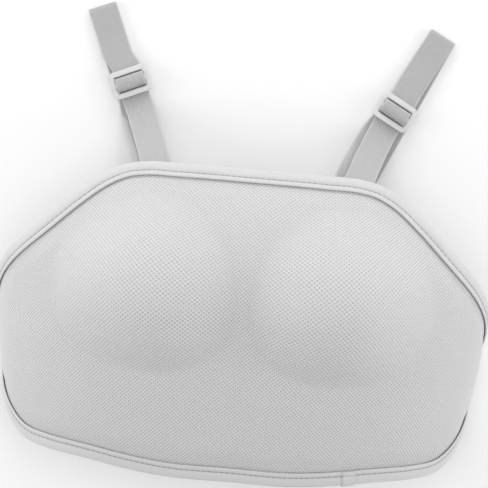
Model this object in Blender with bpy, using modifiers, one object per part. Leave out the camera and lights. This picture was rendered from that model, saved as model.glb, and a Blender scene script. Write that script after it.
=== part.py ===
"""Fencing chest protector lying on its side edges, front up, straps spread out above it."""
import math

import bmesh
import bpy
import numpy as np
from mathutils import Matrix, Vector

for old in list(bpy.data.objects):
    bpy.data.objects.remove(old, do_unlink=True)

# Main sizes in metres
HALF_WIDTH = 0.186
PANEL_HEIGHT = 0.224
ARCH_HEIGHT = 0.131
PAD_THICK = 0.007
EDGE_THICK = 0.0036
CUP_POWER = 1.5
CUP_SHARE = 0.255
CUP_LEVEL = 0.014
CUP_REACH = 0.079
CUP_HEIGHT = 0.31 * CUP_REACH
TAPE_WIDTH = 0.0106
TAPE_THICK = 0.0011
PUFF_RISE = 0.014

# Straps, sliders, loops and band in metres
STRAP_WIDTH = 0.022
STRAP_THICK = 0.0014
SLIDER_WIDTH = 0.029
SLIDER_LENGTH = 0.0215
SLIDER_THICK = 0.0026
SLIDER_SIDE = 0.0031
SLIDER_END = 0.0043
SLIDER_BAR = 0.004
SLIDER_ROUND = 0.0004
LOOP_MARGIN = 0.0024
LOOP_FOOT = 0.012
LOOP_SLOT = 0.0048
LOOP_BAR = 0.004
LOOP_BAR_THICK = 0.0022
LOOP_BACK = 0.021
BAND_WIDTH = 0.035
BAND_THICK = 0.002
BAND_LEVEL = -0.0265
BAND_RISE = 0.030
BAND_TURN = 0.012

# Clearances in metres
GAP = 0.0003
TAPE_GAP = 0.0005
SEAT_GAP = 0.0008

# Section of the arch: share of its half length, angle from level in degrees
ARCH = (
    (0.00, 0), (0.20, 9), (0.40, 20), (0.55, 33),
    (0.70, 52), (0.85, 76), (0.93, 88), (1.00, 97),
)

# Along the middle: y as a share of PANEL_HEIGHT, half width as a share of HALF_WIDTH,
# crest height as a share of ARCH_HEIGHT
SPINE = (
    (-0.49, 0.872, 0.695), (-0.335, 0.914, 0.809), (-0.18, 0.946, 0.908), (0.00, 0.976, 0.985),
    (0.20, 1.000, 1.000), (0.335, 1.002, 0.931), (0.51, 0.994, 0.763),
)

# Outline: share of the arch, top y and bottom y as shares of PANEL_HEIGHT
RIM = (
    (0.00, 0.510, -0.478), (0.20, 0.510, -0.479), (0.30, 0.508, -0.470), (0.36, 0.494, -0.4625),
    (0.42, 0.460, -0.4535), (0.50, 0.390, -0.444), (0.60, 0.299, -0.434), (0.73, 0.205, -0.4075),
    (0.83, 0.136, -0.347), (0.93, 0.066, -0.266), (0.97, 0.035, -0.228), (1.00, -0.009, -0.179),
)

# Reach of a cup to each side, as shares of CUP_REACH
CUP_SIDES = dict(inner=0.785, outer=1.0, upper=1.0, lower=0.58)

# Straps: slider x and y, slider turn in degrees, fold x and y, fold turn, panel edge x and y,
# sideways step of the lower run, x where the back run ends
STRAPS = {
    "left": dict(slider=(-0.1004, 0.1790), turn=23.7, fold=(-0.1277, 0.2362), fold_turn=22.6,
                 edge=(-0.0694, 0.1157), step=-0.0068, end=-0.0125),
    "right": dict(slider=(0.1040, 0.1732), turn=-28.6, fold=(0.1365, 0.2354), fold_turn=-28.0,
                  edge=(0.0753, 0.1173), step=-0.0066, end=0.0125),
}

COLUMNS = 44
ROWS = 26

arch_share = np.linspace(0.0, 1.06, 425)
arch_angle = np.radians(np.interp(arch_share, [row[0] for row in ARCH], [row[1] for row in ARCH]))
step_angle = (arch_angle[1:] + arch_angle[:-1]) / 2
step_size = arch_share[1] - arch_share[0]
arch_out = np.concatenate([[0], np.cumsum(np.cos(step_angle))]) * step_size
arch_down = np.concatenate([[0], np.cumsum(np.sin(step_angle))]) * step_size
OUT_MAX = arch_out.max()
DOWN_MAX = np.interp(1.0, arch_share, arch_down)
HALF_ARC = HALF_WIDTH / OUT_MAX
FOLD_OUT = 1.2 * TAPE_GAP + TAPE_THICK / 2
FOOT = FOLD_OUT + TAPE_THICK / 2


def smooth(rows, column, at):
    """Smooth values of one column of a table, read at positions in its first column."""
    knots = np.array([row[0] for row in rows], float)
    values = np.array([row[column] for row in rows], float)
    slopes = np.gradient(values, knots)
    at = np.asarray(at, float)
    low = np.clip(np.searchsorted(knots, at) - 1, 0, len(knots) - 2)
    span = knots[low + 1] - knots[low]
    t = (at - knots[low]) / span
    start = values[low] * (1 + 2 * t) * (1 - t) ** 2 + slopes[low] * span * t * (1 - t) ** 2
    end = values[low + 1] * t * t * (3 - 2 * t) + slopes[low + 1] * span * t * t * (t - 1)
    return start + end


def middle(share, y):
    """Middle surface of the bare arch at a signed share of the arc and a height y."""
    half = HALF_WIDTH * smooth(SPINE, 1, y / PANEL_HEIGHT)
    crest = ARCH_HEIGHT * smooth(SPINE, 2, y / PANEL_HEIGHT)
    size = np.abs(share)
    x = np.sign(share) * half * np.interp(size, arch_share, arch_out) / OUT_MAX
    z = crest * (1 - np.interp(size, arch_share, arch_down) / DOWN_MAX)
    return np.stack([x, y + 0 * x, z + FOOT], -1)


def normals(surface, share, y):
    """Unit normals of a surface, pointing out of the front."""
    across = surface(share + 0.004, y) - surface(share - 0.004, y)
    along = surface(share, y + 0.0008) - surface(share, y - 0.0008)
    out = np.cross(across, along)
    return out / np.linalg.norm(out, axis=-1, keepdims=True)


def cups(share, y):
    """Height of the two moulded cups over the bare arch."""
    side = (np.abs(share) - CUP_SHARE) * HALF_ARC
    rise = y - CUP_LEVEL
    reach = (side / np.where(side < 0, CUP_SIDES["inner"], CUP_SIDES["outer"])) ** 2
    reach = reach + (rise / np.where(rise < 0, CUP_SIDES["lower"], CUP_SIDES["upper"])) ** 2
    reach = reach / CUP_REACH ** 2
    return CUP_HEIGHT * np.clip(1 - reach, 0, None) ** CUP_POWER


def shell(share, y):
    """Middle surface of the padded panel, cups included."""
    share = np.asarray(share, float)
    y = np.asarray(y, float)
    return middle(share, y) + normals(middle, share, y) * cups(share, y)[..., None]


def offset(share, y, height):
    """Points at a height over the panel's middle surface."""
    return shell(share, y) + normals(shell, share, y) * np.asarray(height)[..., None]


def add_object(name, data, colour, roughness):
    """Put a mesh or curve in the model's collection with its own material."""
    piece = bpy.data.objects.new(name, data)
    model.objects.link(piece)
    paint = bpy.data.materials.new(name)
    paint.use_nodes = True
    shader = paint.node_tree.nodes["Principled BSDF"]
    shader.inputs["Base Color"].default_value = (*colour, 1)
    shader.inputs["Roughness"].default_value = roughness
    data.materials.append(paint)
    return piece


def sheet_mesh(name, points, closed=False):
    """Grid whose vertices are moved to the given points; closed joins its two ends."""
    count_i, count_j = points.shape[:2]
    build = bmesh.new()
    bmesh.ops.create_grid(build, x_segments=count_i - 1, y_segments=count_j - 1, size=1)
    for vert in build.verts:
        i = round((vert.co.x + 1) / 2 * (count_i - 1))
        j = round((vert.co.y + 1) / 2 * (count_j - 1))
        vert.co = points[i, j]
    if closed:
        bmesh.ops.remove_doubles(build, verts=build.verts, dist=1e-6)
    mesh = bpy.data.meshes.new(name)
    build.to_mesh(mesh)
    build.free()
    for face in mesh.polygons:
        face.use_smooth = True
    return mesh


def thicken(piece, thickness, group=None, least=1.0):
    """Solidify a sheet evenly to both sides."""
    solid = piece.modifiers.new("thickness", "SOLIDIFY")
    solid.thickness = thickness
    solid.offset = 0
    if group:
        solid.vertex_group = group
        solid.thickness_vertex_group = least
    return solid


model = bpy.data.collections.new("fencing_chest_protector")
bpy.context.scene.collection.children.link(model)
cutters = bpy.data.collections.new("cutters")
bpy.context.scene.collection.children.link(cutters)

# Padded panel
spread = np.linspace(-1, 1, COLUMNS + 1)
column_share = np.sign(spread) * (1 - (1 - np.abs(spread)) ** 1.25)
level = np.linspace(0, 1, ROWS + 1)
row_share = 0.5 * level + 0.25 * (1 - np.cos(math.pi * level))
top = PANEL_HEIGHT * smooth(RIM, 1, np.abs(column_share))
bottom = PANEL_HEIGHT * smooth(RIM, 2, np.abs(column_share))
grid_share = np.repeat(column_share[:, None], ROWS + 1, 1)
grid_y = bottom[:, None] + (top - bottom)[:, None] * row_share[None, :]
grid_points = shell(grid_share, grid_y)

rim_cells = [(i, 0) for i in range(COLUMNS)]
rim_cells += [(COLUMNS, j) for j in range(ROWS)]
rim_cells += [(i, ROWS) for i in range(COLUMNS, 0, -1)]
rim_cells += [(0, j) for j in range(ROWS, 0, -1)]
rim_share = np.array([grid_share[cell] for cell in rim_cells])
rim_y = np.array([grid_y[cell] for cell in rim_cells])
rim_points = shell(rim_share, rim_y)

panel_mesh = sheet_mesh("padded_panel", grid_points)
panel = add_object("padded_panel", panel_mesh, (0.86, 0.86, 0.87), 0.85)
inside = panel.vertex_groups.new(name="puff")
for vert in panel_mesh.vertices:
    depth = np.linalg.norm(rim_points - np.array(vert.co), axis=1).min()
    share = (depth - TAPE_WIDTH - TAPE_THICK) / PUFF_RISE
    share = min(max(share, 0), 1)
    inside.add([vert.index], share * share * (3 - 2 * share), "REPLACE")
thicken(panel, PAD_THICK, "puff", EDGE_THICK / PAD_THICK)

# Edge binding, folded round the rim
lip = EDGE_THICK / 2 + TAPE_GAP + TAPE_THICK / 2
TAPE_FOLD = (
    (TAPE_WIDTH, lip), (0.0, lip), (-0.75 * TAPE_GAP - TAPE_THICK / 2, 0.8 * lip),
    (-FOLD_OUT, 0.0),
    (-0.75 * TAPE_GAP - TAPE_THICK / 2, -0.8 * lip), (0.0, -lip), (TAPE_WIDTH, -lip),
)
rim_along = np.roll(rim_points, -1, 0) - np.roll(rim_points, 1, 0)
rim_normal = normals(shell, rim_share, rim_y)
rim_in = np.cross(rim_normal, rim_along)
rim_in /= np.linalg.norm(rim_in, axis=1, keepdims=True)


def walk(share, y, direction, distance):
    """Share and y reached from a point of the panel after a distance in a direction."""
    across = (shell(share + 0.002, y) - shell(share - 0.002, y)) / 0.004
    along = (shell(share, y + 0.0004) - shell(share, y - 0.0004)) / 0.0008
    a = (across * across).sum(-1)
    b = (across * along).sum(-1)
    c = (along * along).sum(-1)
    p = (across * direction).sum(-1) * distance
    q = (along * direction).sum(-1) * distance
    scale = a * c - b * b
    return share + (c * p - b * q) / scale, y + (a * q - b * p) / scale


def tape_points(share, y, inward):
    """Section points of the folded tape at every station of the rim."""
    rows = []
    for distance, height in TAPE_FOLD:
        if distance > 0:
            half_share, half_y = walk(share, y, inward, distance / 2)
            at_share, at_y = walk(half_share, half_y, inward, distance / 2)
            rows.append(offset(at_share, at_y, height))
        else:
            rows.append(shell(share, y) + inward * distance + normals(shell, share, y) * height)
    return np.stack(rows, 1)


tape = tape_points(rim_share, rim_y, rim_in)
tape = np.concatenate([tape, tape[:1]], 0)
binding = add_object("edge_binding", sheet_mesh("edge_binding", tape, closed=True), (0.9, 0.9, 0.9), 0.7)
thicken(binding, TAPE_THICK)

# Levels of the webbing stack on the table, middle of each layer
HALF = STRAP_THICK / 2
RUN_Z = HALF
UNDER_Z = RUN_Z + STRAP_THICK + GAP
FRONT_Z = UNDER_Z + 2 * (STRAP_THICK + GAP)
FRAME_Z = FRONT_Z + HALF + GAP
FRAME_TOP = FRAME_Z + SLIDER_THICK
WRAP = GAP + HALF
INNER_TOP = FRAME_TOP + WRAP
OUTER_TOP = INNER_TOP + STRAP_THICK + GAP
BAR_HALF = SLIDER_BAR / 2
INNER_OUT = BAR_HALF + WRAP
OUTER_OUT = INNER_OUT + STRAP_THICK + GAP
FRAME_HALF = SLIDER_LENGTH / 2
LOOP_FACE = PAD_THICK / 2 + SEAT_GAP
LOOP_BAR_TOP = LOOP_FACE + 2 * GAP + STRAP_THICK
LOOP_BAR_LOW = LOOP_BAR_TOP + LOOP_BAR_THICK


def rounded(width, height, radius, steps=4):
    """Corner points of a rounded rectangle."""
    points = []
    for corner in range(4):
        sx = (1, -1, -1, 1)[corner]
        sy = (1, 1, -1, -1)[corner]
        for k in range(steps + 1):
            angle = math.radians(90 * corner + 90 * k / steps)
            x = sx * (width / 2 - radius) + radius * math.cos(angle)
            y = sy * (height / 2 - radius) + radius * math.sin(angle)
            points.append((x, y))
    return points


def add_spline(data, points, shift=0.0):
    """Closed straight-sided spline in a flat curve."""
    spline = data.splines.new("POLY")
    spline.points.add(len(points) - 1)
    for point, (x, y) in zip(spline.points, points):
        point.co = (x, y + shift, 0, 1)
    spline.use_cyclic_u = True


def add_slider(name, place):
    """Flat frame with two slots and a middle bar."""
    data = bpy.data.curves.new(name, "CURVE")
    data.dimensions = "2D"
    data.fill_mode = "BOTH"
    rounding = SLIDER_ROUND
    data.bevel_depth = rounding
    data.bevel_resolution = 1
    data.extrude = SLIDER_THICK / 2 - rounding
    slot = SLIDER_LENGTH / 2 - SLIDER_END - BAR_HALF
    centre = BAR_HALF + slot / 2
    outer = rounded(SLIDER_WIDTH - 2 * rounding, SLIDER_LENGTH - 2 * rounding, 0.1 * SLIDER_WIDTH)
    inner = rounded(SLIDER_WIDTH - 2 * SLIDER_SIDE + 2 * rounding, slot + 2 * rounding, 0.03 * SLIDER_WIDTH, 2)
    add_spline(data, outer)
    add_spline(data, inner, centre)
    add_spline(data, inner, -centre)
    piece = add_object(name, data, (0.88, 0.88, 0.88), 0.35)
    piece.matrix_world = place
    return piece


def box_mesh(name, low, high):
    """Box between two corners."""
    build = bmesh.new()
    bmesh.ops.create_cube(build, size=1)
    size = Vector(high) - Vector(low)
    centre = (Vector(high) + Vector(low)) / 2
    bmesh.ops.scale(build, vec=size, verts=build.verts)
    bmesh.ops.translate(build, vec=centre, verts=build.verts)
    mesh = bpy.data.meshes.new(name)
    build.to_mesh(mesh)
    build.free()
    return mesh


def add_loop(name, place):
    """Moulded foot with a slot, sewn behind the top edge; local y points to the edge."""
    half = STRAP_WIDTH / 2 + LOOP_MARGIN
    tip = LOOP_SLOT + LOOP_BAR
    body = box_mesh(name, (-half, -LOOP_FOOT, -LOOP_BAR_LOW), (half, tip, -LOOP_FACE))
    piece = add_object(name, body, (0.86, 0.86, 0.86), 0.4)
    piece.matrix_world = place
    reach = STRAP_WIDTH / 2 + 2 * GAP
    recess = ((-2 * half, 0, -LOOP_BAR_TOP), (2 * half, 2 * tip, 0))
    slot = ((-reach, 0, -2 * LOOP_BAR_LOW), (reach, LOOP_SLOT, 0))
    for tag, (low, high) in (("recess", recess), ("slot", slot)):
        cutter = bpy.data.objects.new(f"{name}_{tag}", box_mesh(f"{name}_{tag}", low, high))
        cutter.matrix_world = place
        cutter.hide_render = True
        cutter.display_type = "WIRE"
        cutters.objects.link(cutter)
        cut = piece.modifiers.new(tag, "BOOLEAN")
        cut.operation = "DIFFERENCE"
        cut.solver = "EXACT"
        cut.object = cutter
    return piece


def place_at(origin, across, along, up):
    """Matrix with the given origin and axes."""
    turn = Matrix((across, along, up)).transposed().to_4x4()
    return Matrix.Translation(origin) @ turn


def ribbon(knots, width, thickness, pieces=2):
    """Two-edged strip through knots of centre point and side direction, kept over the table."""
    centres = np.array([knot[0] for knot in knots], float)
    sides = np.array([knot[1] for knot in knots], float)
    sides /= np.linalg.norm(sides, axis=1, keepdims=True)
    length = np.concatenate([[0], np.cumsum(np.linalg.norm(np.diff(centres, axis=0), axis=1))])
    spans = [np.linspace(length[k], length[k + 1], pieces + 1)[:-1] for k in range(len(length) - 1)]
    at = np.append(np.concatenate(spans), length[-1])
    centre = np.stack([smooth(list(zip(length, centres[:, k])), 1, at) for k in range(3)], -1)
    centre[:, 2] = np.maximum(centre[:, 2], thickness / 2)
    side = np.stack([np.interp(at, length, sides[:, k]) for k in range(3)], -1)
    side /= np.linalg.norm(side, axis=1, keepdims=True)
    return np.stack([centre - side * width / 2, centre + side * width / 2], 1)


def share_at(x, y):
    """Share of the arch whose middle surface is over x at a given y."""
    half = float(HALF_WIDTH * smooth(SPINE, 1, y / PANEL_HEIGHT))
    rising = int(arch_out.argmax())
    size = np.interp(abs(x) / half * OUT_MAX, arch_out[:rising + 1], arch_share[:rising + 1])
    return math.copysign(float(size), x)


def add_strap(side, plan):
    """One strap with its slider and its loop behind the panel's top edge."""
    turn = math.radians(plan["turn"])
    ahead = np.array([-math.sin(turn), math.cos(turn), 0.0])
    across = np.array([math.cos(turn), math.sin(turn), 0.0])
    slider = np.array([*plan["slider"], 0.0])
    fold_turn = math.radians(plan["fold_turn"])
    fold_ahead = np.array([-math.sin(fold_turn), math.cos(fold_turn), 0.0])
    fold_across = np.array([math.cos(fold_turn), math.sin(fold_turn), 0.0])
    fold = np.array([*plan["fold"], 0.0])
    edge = np.array([*plan["edge"], 0.0])
    up = np.array([0.0, 0.0, 1.0])

    def by_slider(toward_panel, z, step=0.0):
        return slider - ahead * toward_panel + up * z + across * step, across

    # Frame of the loop, its local y toward the panel edge
    lean = edge - slider
    lean /= np.linalg.norm(lean)
    seat = edge + lean * LOOP_BACK
    seat_share = share_at(seat[0], seat[1])
    loop_origin = shell(seat_share, seat[1])
    loop_up = normals(shell, seat_share, np.asarray(seat[1]))
    loop_along = -lean - loop_up * np.dot(-lean, loop_up)
    loop_along /= np.linalg.norm(loop_along)
    loop_across = np.cross(loop_along, loop_up)

    def by_loop(toward_edge, depth, step=0.0):
        point = loop_origin + loop_along * toward_edge - loop_up * depth + loop_across * step
        return point, loop_across

    # Bare heights over the table between the panel edge and the slider
    rim_low = by_loop(LOOP_BACK, LOOP_FACE)[0]
    span = np.linalg.norm((rim_low - slider)[:2]) - FRAME_HALF

    def between(share, height, sink, step):
        """Point between slider (0) and panel edge (1), at a share of the drop."""
        point = slider - ahead * FRAME_HALF
        plan_point = point * (1 - share) + np.array([rim_low[0], rim_low[1], 0]) * share
        z = sink + (rim_low[2] - 2.5 * STRAP_THICK - sink) * height
        blend = across * (1 - share) + loop_across * share
        return plan_point + up * z + blend * step, blend

    step = plan["step"]
    bend = 1.05 * WRAP
    wide = OUTER_TOP - FRAME_TOP
    low_run = LOOP_BAR_LOW + bend
    high_run = LOOP_BAR_TOP - bend
    knots = [
        by_slider(INNER_OUT, FRAME_TOP - 0.85 * SLIDER_THICK),
        by_slider(INNER_OUT, FRAME_TOP),
        by_slider(BAR_HALF + 0.72 * WRAP, FRAME_TOP + 0.72 * WRAP),
        by_slider(BAR_HALF, INNER_TOP),
        by_slider(-BAR_HALF, INNER_TOP),
        by_slider(-BAR_HALF - 0.72 * WRAP, FRAME_TOP + 0.72 * WRAP),
        by_slider(-INNER_OUT, FRAME_TOP),
        by_slider(-INNER_OUT, FRAME_Z),
        by_slider(-BAR_HALF - 0.72 * WRAP, FRAME_Z - 0.72 * WRAP),
        by_slider(-BAR_HALF, FRAME_Z - WRAP),
        by_slider(0.0, FRAME_Z - WRAP - 1.3 * GAP),
        by_slider(FRAME_HALF * 0.55, UNDER_Z + 0.7 * GAP, step * 0.1),
        by_slider(FRAME_HALF, UNDER_Z, step * 0.35),
        between(0.16, 0.02, UNDER_Z, step * 0.6),
        between(0.34, 0.14, UNDER_Z, step * 0.75),
        between(0.52, 0.36, UNDER_Z, step * 0.85),
        between(0.72, 0.66, UNDER_Z, step * 0.95),
        by_loop(LOOP_BACK + 2.1 * STRAP_THICK, low_run + 1.6 * STRAP_THICK, step),
        by_loop(LOOP_BACK * 0.72, low_run + 0.36 * STRAP_THICK, step * 0.6),
        by_loop(LOOP_SLOT + LOOP_BAR, low_run),
        by_loop(LOOP_SLOT, low_run),
        by_loop(LOOP_SLOT - 0.72 * bend, LOOP_BAR_LOW + 0.72 * bend),
        by_loop(LOOP_SLOT - bend, LOOP_BAR_LOW),
        by_loop(LOOP_SLOT - bend, LOOP_BAR_TOP),
        by_loop(LOOP_SLOT - 0.72 * bend, LOOP_BAR_TOP - 0.72 * bend),
        by_loop(LOOP_SLOT, high_run),
        by_loop(LOOP_SLOT + LOOP_BAR, high_run),
        by_loop(LOOP_BACK * 0.72, high_run + 0.43 * STRAP_THICK),
        by_loop(LOOP_BACK + 2.1 * STRAP_THICK, high_run + 1.6 * STRAP_THICK),
        between(0.72, 0.72, FRONT_Z, 0),
        between(0.52, 0.42, FRONT_Z, 0),
        between(0.34, 0.18, FRONT_Z, 0),
        between(0.16, 0.03, FRONT_Z, 0),
        by_slider(FRAME_HALF, FRONT_Z),
    ]
    over = (
        (OUTER_OUT + 1.80 * STRAP_THICK, FRONT_Z), (OUTER_OUT + 1.07 * STRAP_THICK, FRONT_Z),
        (OUTER_OUT + 0.50 * STRAP_THICK, FRONT_Z + 0.36 * STRAP_THICK),
        (OUTER_OUT + 0.14 * STRAP_THICK, FRONT_Z + 0.93 * STRAP_THICK),
        (OUTER_OUT, FRONT_Z + 1.64 * STRAP_THICK), (OUTER_OUT, FRAME_TOP),
        (BAR_HALF + 0.72 * wide, FRAME_TOP + 0.72 * wide), (BAR_HALF, OUTER_TOP),
    )
    knots += [by_slider(along, z) for along, z in over]
    knots += [by_slider(-along, z) for along, z in over[::-1]]
    knots.append(by_slider(-FRAME_HALF, FRONT_Z))
    fold_z = RUN_Z + 1.93 * STRAP_THICK
    start = slider + ahead * FRAME_HALF
    reach = np.linalg.norm(fold - start)
    for share, z in ((0.25, (FRONT_Z + fold_z) / 2), (0.5, fold_z), (0.9, fold_z)):
        along = fold - fold_ahead * reach * (1 - share)
        blend = across * (1 - share) + fold_across * share
        knots.append((along + up * z, blend))
    bulge = (fold_z - RUN_Z) / 2
    centre = fold - fold_ahead * (bulge + HALF) + up * (RUN_Z + bulge)
    for out, rise in ((0.0, 1.0), (0.71, 0.71), (1.0, 0.0), (0.71, -0.71), (0.0, -1.0)):
        knots.append((centre + fold_ahead * out * bulge + up * rise * bulge, fold_across))
    band_top = BAND_LEVEL + BAND_WIDTH / 2
    end = np.array([plan["end"], BAND_LEVEL - BAND_WIDTH / 4, 0.0])
    back = end - fold
    back_across = np.array([-back[1], back[0], 0.0]) / np.linalg.norm(back)
    on_band = BAND_THICK + GAP + HALF
    first = 4.3 * STRAP_THICK / np.linalg.norm(back)
    lift = (fold[1] - band_top - 9.5 * BAND_THICK) / (fold[1] - end[1])
    land = (fold[1] - band_top - 3.25 * BAND_THICK) / (fold[1] - end[1])
    on_table = ((first, RUN_Z), (0.05, RUN_Z), (lift * 0.98, RUN_Z), (lift, RUN_Z))
    for share, z in on_table + ((land, on_band), (1.0, on_band)):
        knots.append((fold + back * share + up * z, back_across))
    strap_mesh = sheet_mesh(f"strap_{side}", ribbon(knots, STRAP_WIDTH, STRAP_THICK))
    strap = add_object(f"strap_{side}", strap_mesh, (0.84, 0.84, 0.84), 0.8)
    thicken(strap, STRAP_THICK)
    frame_centre = Vector(slider) + Vector((0, 0, FRAME_Z + SLIDER_THICK / 2))
    frame_place = place_at(frame_centre, Vector(across), Vector(ahead), Vector(up))
    add_slider(f"slider_{side}", frame_place)
    loop_place = place_at(Vector(loop_origin), Vector(loop_across), Vector(loop_along), Vector(loop_up))
    add_loop(f"strap_loop_{side}", loop_place)


for strap_side, strap_plan in STRAPS.items():
    add_strap(strap_side, strap_plan)

# Back band: flat on the table, its ends turned up inside the side edges
def band_side(sign):
    """Knots from the upper end of the band down to the table on one side."""
    depth = PAD_THICK / 2 + TAPE_GAP + BAND_THICK / 2
    knots = []
    foot = shell(sign * 1.0, BAND_LEVEL)
    for rise in (BAND_RISE, BAND_RISE * 0.7, BAND_RISE * 0.4):
        share = sign * (1 - rise / HALF_ARC)
        point = offset(share, BAND_LEVEL, -depth)
        side = offset(share, BAND_LEVEL + BAND_THICK, -depth) - offset(share, BAND_LEVEL - BAND_THICK, -depth)
        knots.append((point, side))
    tilt = knots[-1][1] / np.linalg.norm(knots[-1][1])
    level = np.array([0.0, 1.0, 0.0])
    inner = abs(foot[0]) - depth
    for out, rise, lean in ((0.125, 2.9, 0.7), (0.5, 0.9, 0.3), (1.0, 0.5, 0.0), (1.67, 0.5, 0.0)):
        point = np.array([sign * (inner - out * BAND_TURN), BAND_LEVEL, rise * BAND_THICK])
        knots.append((point, lean * tilt + (1 - lean) * level))
    return knots


band_knots = band_side(-1) + band_side(1)[::-1]
band_mesh = sheet_mesh("back_band", ribbon(band_knots, BAND_WIDTH, BAND_THICK))
band = add_object("back_band", band_mesh, (0.84, 0.84, 0.84), 0.8)
thicken(band, BAND_THICK)

# Origin at the middle of the box's bottom
bpy.context.view_layer.update()
graph = bpy.context.evaluated_depsgraph_get()
corners = []
for piece in model.objects:
    shape = piece.evaluated_get(graph)
    mesh = shape.to_mesh()
    corners += [shape.matrix_world @ vert.co for vert in mesh.vertices]
    shape.to_mesh_clear()
low = Vector([min(corner[k] for corner in corners) for k in range(3)])
high = Vector([max(corner[k] for corner in corners) for k in range(3)])
shift = Vector((-(low.x + high.x) / 2, -(low.y + high.y) / 2, -low.z))
for piece in list(model.objects) + list(cutters.objects):
    piece.matrix_world = Matrix.Translation(shift) @ piece.matrix_world
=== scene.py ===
"""Fencing chest protector: knitted mesh over a moulded pad, bound edge, elastic straps and sliders."""
import math

import bmesh
import bpy
import numpy as np
from mathutils import Matrix, Vector
from mathutils.kdtree import KDTree


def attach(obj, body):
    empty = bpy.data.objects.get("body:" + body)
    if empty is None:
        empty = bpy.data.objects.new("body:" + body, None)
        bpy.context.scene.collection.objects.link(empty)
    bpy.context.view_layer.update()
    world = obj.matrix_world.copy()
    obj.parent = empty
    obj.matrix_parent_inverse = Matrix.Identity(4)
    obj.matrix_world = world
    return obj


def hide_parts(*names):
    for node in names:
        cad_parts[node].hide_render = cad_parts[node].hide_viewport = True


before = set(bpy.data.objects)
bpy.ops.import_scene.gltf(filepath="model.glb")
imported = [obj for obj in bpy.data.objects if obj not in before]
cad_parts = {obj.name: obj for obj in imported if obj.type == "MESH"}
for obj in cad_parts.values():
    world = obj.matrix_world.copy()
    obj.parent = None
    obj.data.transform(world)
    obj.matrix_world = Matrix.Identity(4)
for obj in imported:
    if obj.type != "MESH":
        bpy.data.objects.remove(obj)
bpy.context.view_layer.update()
scene = bpy.context.scene

# Panel sizes in metres, the same as in the part's source
HALF_WIDTH = 0.186
PANEL_HEIGHT = 0.224
ARCH_HEIGHT = 0.131
PAD_THICK = 0.007
EDGE_THICK = 0.0036
CUP_POWER = 1.5
CUP_SHARE = 0.255
CUP_LEVEL = 0.014
CUP_REACH = 0.079
CUP_HEIGHT = 0.31 * CUP_REACH
TAPE_WIDTH = 0.0106
TAPE_THICK = 0.0011
PUFF_RISE = 0.014
TAPE_GAP = 0.0005
GAP = 0.0003
SEAT_GAP = 0.0008

# Straps, sliders and band in metres, the same as in the part's source
STRAP_WIDTH = 0.022
STRAP_THICK = 0.0014
SLIDER_WIDTH = 0.029
SLIDER_LENGTH = 0.0215
SLIDER_THICK = 0.0026
SLIDER_SIDE = 0.0031
SLIDER_END = 0.0043
SLIDER_BAR = 0.004
LOOP_SLOT = 0.0048
LOOP_BAR = 0.004
LOOP_BAR_THICK = 0.0022
LOOP_BACK = 0.021
BAND_WIDTH = 0.035
BAND_THICK = 0.002
BAND_LEVEL = -0.0265
BAND_RISE = 0.030
BAND_TURN = 0.012

# Where the source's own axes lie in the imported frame
PLACE = np.array([0.0, -0.06534, 0.000007])

# Section of the arch: share of its half length, angle from level in degrees
ARCH = (
    (0.00, 0), (0.20, 9), (0.40, 20), (0.55, 33),
    (0.70, 52), (0.85, 76), (0.93, 88), (1.00, 97),
)

# Along the middle: y share, half width share, crest share
SPINE = (
    (-0.49, 0.872, 0.695), (-0.335, 0.914, 0.809), (-0.18, 0.946, 0.908), (0.00, 0.976, 0.985),
    (0.20, 1.000, 1.000), (0.335, 1.002, 0.931), (0.51, 0.994, 0.763),
)

# Outline: share of the arch, top y and bottom y as shares of the panel's height
RIM = (
    (0.00, 0.510, -0.478), (0.20, 0.510, -0.479), (0.30, 0.508, -0.470), (0.36, 0.494, -0.4625),
    (0.42, 0.460, -0.4535), (0.50, 0.390, -0.444), (0.60, 0.299, -0.434), (0.73, 0.205, -0.4075),
    (0.83, 0.136, -0.347), (0.93, 0.066, -0.266), (0.97, 0.035, -0.228), (1.00, -0.009, -0.179),
)

# Reach of a cup to each side, as shares of CUP_REACH
CUP_SIDES = dict(inner=0.785, outer=1.0, upper=1.0, lower=0.58)

# Straps: slider x and y, slider turn in degrees, fold x and y, fold turn, panel edge x and y,
# sideways step of the lower run, x where the back run ends
STRAPS = {
    "left": dict(slider=(-0.1004, 0.1790), turn=23.7, fold=(-0.1277, 0.2362), fold_turn=22.6,
                 edge=(-0.0694, 0.1157), step=-0.0068, end=-0.0125),
    "right": dict(slider=(0.1040, 0.1732), turn=-28.6, fold=(0.1365, 0.2354), fold_turn=-28.0,
                  edge=(0.0753, 0.1173), step=-0.0066, end=0.0125),
}

# Finish sizes in metres
PAD_COLUMNS = 168
PAD_ROWS = 72
RIM_STEP = 0.0016
STITCH_LINE = 0.0068
STITCH_PITCH = 0.0041
STITCH_LENGTH = 0.0031
THREAD = 0.00026
JOIN_X = 0.087
JOIN_HALF = 0.0045
SWELL_CAP = 0.0012
KNIT_WIDE = 0.0032
KNIT_TALL = 0.0026
KNIT_EVEN = 0.185
KNIT_RELIEF = 0.00035
RIB_RELIEF = 0.00018
TWILL = 0.0008
PUCKER = 0.00014
RIPPLE = 0.00022
JOIN_RISE = 0.0009
SLIDER_SOFT = 0.0008
SLIDER_CORNER = 0.0028
SLOT_CORNER = 0.0011
LOOP_SOFT = 0.0006
TACK_THREAD = 0.00022
TACK_PITCH = 0.0016
TACK_LIFT = 0.0001
STRAP_TACK = dict(width=0.016, length=0.012, inset=0.009)
BAND_TACK = dict(width=0.027, length=0.013, inset=0.010)

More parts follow.
